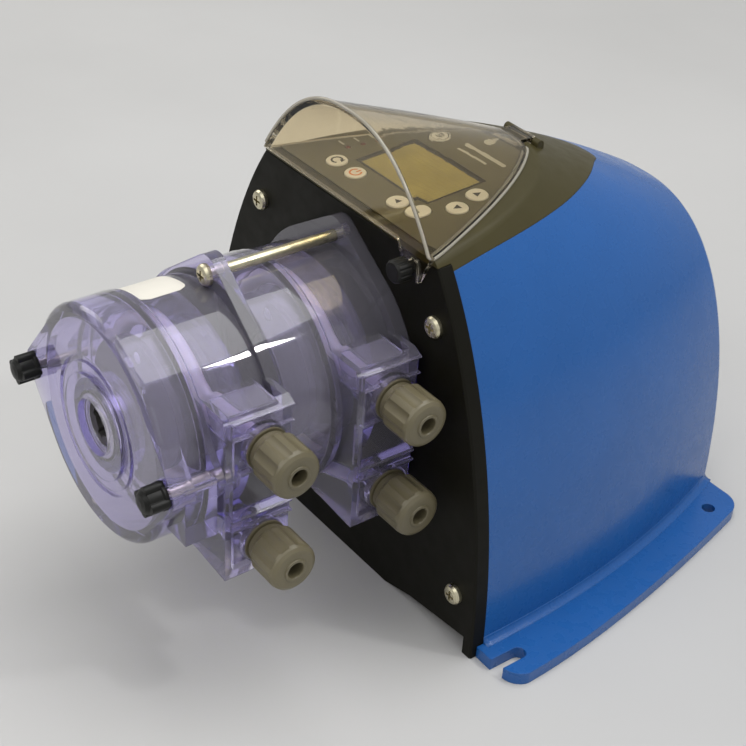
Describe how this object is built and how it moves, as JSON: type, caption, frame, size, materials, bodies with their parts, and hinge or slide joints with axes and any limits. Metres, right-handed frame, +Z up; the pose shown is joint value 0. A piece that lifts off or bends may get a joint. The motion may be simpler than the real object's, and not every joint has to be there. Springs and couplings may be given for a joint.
{
  "type": "peristaltic pump",
  "caption": "Peristaltic dosing pump with stacked clear pump heads on the front of an arched blue housing, sloping control panel under a clear lid, and compression tube ports.",
  "frame": {"origin": "middle of the base, on the plane it stands on, midway between the sides and 90 mm behind the faceplate's front surface", "axes": "+Z up, +Y from the pump heads to the back of the housing, +X to the side of the tube ports"},
  "size_m": [0.26, 0.3223, 0.2179],
  "materials": {
    "blue_housing": "fine-textured semi-gloss moulding",
    "black_plastic": "satin black moulding",
    "zinc_steel": "zinc-plated steel",
    "panel_print": "printed membrane",
    "window": "clear display window",
    "display": "yellow-green display",
    "circuit_board": "solder-masked board",
    "lamp": "unlit red lamp",
    "clear_lid": "clear moulded polycarbonate",
    "clear_head": "clear moulded polycarbonate with a violet tint",
    "cast_alloy": "die cast",
    "motor_steel": "black enamel",
    "bearing_steel": "ground steel",
    "tube": "translucent cream elastomer",
    "port_grey": "grey moulding",
    "dark_rotor": "glass-filled black moulding",
    "roller": "white acetal",
    "key": "off-white printed key",
    "label": "blank white label"
  },
  "bodies": {
    "root": {"housing": "blue_housing", "base_plate": "black_plastic", "base_screws": "zinc_steel", "faceplate": "black_plastic", "face_screws": "zinc_steel", "nose_cap": "black_plastic", "panel_overlay": "panel_print", "lcd_window": "window", "lcd_module": "display", "control_board": "circuit_board", "status_lights": "lamp", "hinge_pin": "zinc_steel", "drive_plate": "zinc_steel", "plate_screws": "zinc_steel", "gearbox_case": "cast_alloy", "motor": "motor_steel", "plate_bearing": "bearing_steel", "rear_tube": "tube", "front_tube": "tube", "front_bearing": "bearing_steel", "middle_bearing": "bearing_steel", "head_screws": "zinc_steel", "head_studs": "zinc_steel", "head_label": "label", "cable_gland": "black_plastic", "rear_head_body": "clear_head", "rear_head_cover": "clear_head", "rear_upper_connector": "port_grey", "rear_lower_connector": "port_grey", "front_head_body": "clear_head", "front_head_cover": "clear_head", "front_upper_connector": "port_grey", "front_lower_connector": "port_grey"},
    "rotor": {"drive_shaft": "bearing_steel", "rear_rotor": "dark_rotor", "front_rotor": "dark_rotor", "roller_pins": "bearing_steel"},
    "rear_roller_upper": {"rear_roller_upper": "roller"},
    "rear_roller_lower": {"rear_roller_lower": "roller"},
    "rear_upper_nut": {"rear_upper_nut": "port_grey"},
    "rear_lower_nut": {"rear_lower_nut": "port_grey"},
    "front_roller_upper": {"front_roller_upper": "roller"},
    "front_roller_lower": {"front_roller_lower": "roller"},
    "front_upper_nut": {"front_upper_nut": "port_grey"},
    "front_lower_nut": {"front_lower_nut": "port_grey"},
    "left_thumb_nut": {"left_thumb_nut": "black_plastic"},
    "right_thumb_nut": {"right_thumb_nut": "black_plastic"},
    "lid": {"lid": "clear_lid"},
    "lid_knob": {"lid_knob": "black_plastic"},
    "clear_key": {"clear_key": "key"},
    "power_key": {"power_key": "key"},
    "left_key": {"left_key": "key"},
    "right_key": {"right_key": "key"},
    "down_key": {"down_key": "key"},
    "up_key": {"up_key": "key"},
    "mode_key": {"mode_key": "key"}
  },
  "joints": [
    {"name": "rotor_turn", "type": "hinge", "parent": "root", "child": "rotor", "pos_m": [0, -0.09, 0.1069], "axis": [0, 1, 0], "continuous": true},
    {"name": "rear_roller_upper_spin", "type": "hinge", "parent": "rotor", "child": "rear_roller_upper", "pos_m": [0, -0.1182, 0.1327], "axis": [0, 1, 0], "continuous": true},
    {"name": "rear_roller_lower_spin", "type": "hinge", "parent": "rotor", "child": "rear_roller_lower", "pos_m": [0, -0.1182, 0.0811], "axis": [0, 1, 0], "continuous": true},
    {"name": "rear_upper_nut_turn", "type": "hinge", "parent": "root", "child": "rear_upper_nut", "pos_m": [0.07, -0.1063, 0.1173], "axis": [1, 0, 0], "continuous": true},
    {"name": "rear_lower_nut_turn", "type": "hinge", "parent": "root", "child": "rear_lower_nut", "pos_m": [0.07, -0.1063, 0.0714], "axis": [1, 0, 0], "continuous": true},
    {"name": "front_roller_upper_spin", "type": "hinge", "parent": "rotor", "child": "front_roller_upper", "pos_m": [0, -0.1802, 0.1327], "axis": [0, 1, 0], "continuous": true},
    {"name": "front_roller_lower_spin", "type": "hinge", "parent": "rotor", "child": "front_roller_lower", "pos_m": [0, -0.1802, 0.0811], "axis": [0, 1, 0], "continuous": true},
    {"name": "front_upper_nut_turn", "type": "hinge", "parent": "root", "child": "front_upper_nut", "pos_m": [0.07, -0.1683, 0.1173], "axis": [1, 0, 0], "continuous": true},
    {"name": "front_lower_nut_turn", "type": "hinge", "parent": "root", "child": "front_lower_nut", "pos_m": [0.07, -0.1683, 0.0714], "axis": [1, 0, 0], "continuous": true},
    {"name": "left_thumb_nut_turn", "type": "hinge", "parent": "root", "child": "left_thumb_nut", "pos_m": [-0.0523, -0.212, 0.1069], "axis": [0, 1, 0], "continuous": true},
    {"name": "right_thumb_nut_turn", "type": "hinge", "parent": "root", "child": "right_thumb_nut", "pos_m": [0.0523, -0.212, 0.1069], "axis": [0, 1, 0], "continuous": true},
    {"name": "lid_hinge", "type": "hinge", "parent": "root", "child": "lid", "pos_m": [0, 0.0065, 0.1826], "axis": [-1, 0, 0], "range_deg": [0, 75]},
    {"name": "lid_knob_turn", "type": "hinge", "parent": "root", "child": "lid_knob", "pos_m": [0.048, -0.096, 0.1695], "axis": [0, 1, 0], "continuous": true},
    {"name": "clear_key_press", "type": "slide", "parent": "root", "child": "clear_key", "axis": [0, 0.0698, -0.9976], "range_m": [0, 0.0004], "stiffness_N_per_m": 700},
    {"name": "power_key_press", "type": "slide", "parent": "root", "child": "power_key", "axis": [0, 0.0698, -0.9976], "range_m": [0, 0.0004], "stiffness_N_per_m": 700},
    {"name": "left_key_press", "type": "slide", "parent": "root", "child": "left_key", "axis": [0, 0.0698, -0.9976], "range_m": [0, 0.0004], "stiffness_N_per_m": 700},
    {"name": "right_key_press", "type": "slide", "parent": "root", "child": "right_key", "axis": [0, 0.0698, -0.9976], "range_m": [0, 0.0004], "stiffness_N_per_m": 700},
    {"name": "down_key_press", "type": "slide", "parent": "root", "child": "down_key", "axis": [0, 0.0698, -0.9976], "range_m": [0, 0.0004], "stiffness_N_per_m": 700},
    {"name": "up_key_press", "type": "slide", "parent": "root", "child": "up_key", "axis": [0, 0.0698, -0.9976], "range_m": [0, 0.0004], "stiffness_N_per_m": 700},
    {"name": "mode_key_press", "type": "slide", "parent": "root", "child": "mode_key", "axis": [0, 0.0698, -0.9976], "range_m": [0, 0.0004], "stiffness_N_per_m": 700}
  ],
  "couplings": [
    {"joint": "rear_roller_upper_spin", "follows": "rotor_turn", "ratio": -4.54},
    {"joint": "rear_roller_lower_spin", "follows": "rotor_turn", "ratio": -4.54},
    {"joint": "front_roller_upper_spin", "follows": "rotor_turn", "ratio": -4.54},
    {"joint": "front_roller_lower_spin", "follows": "rotor_turn", "ratio": -4.54}
  ]
}
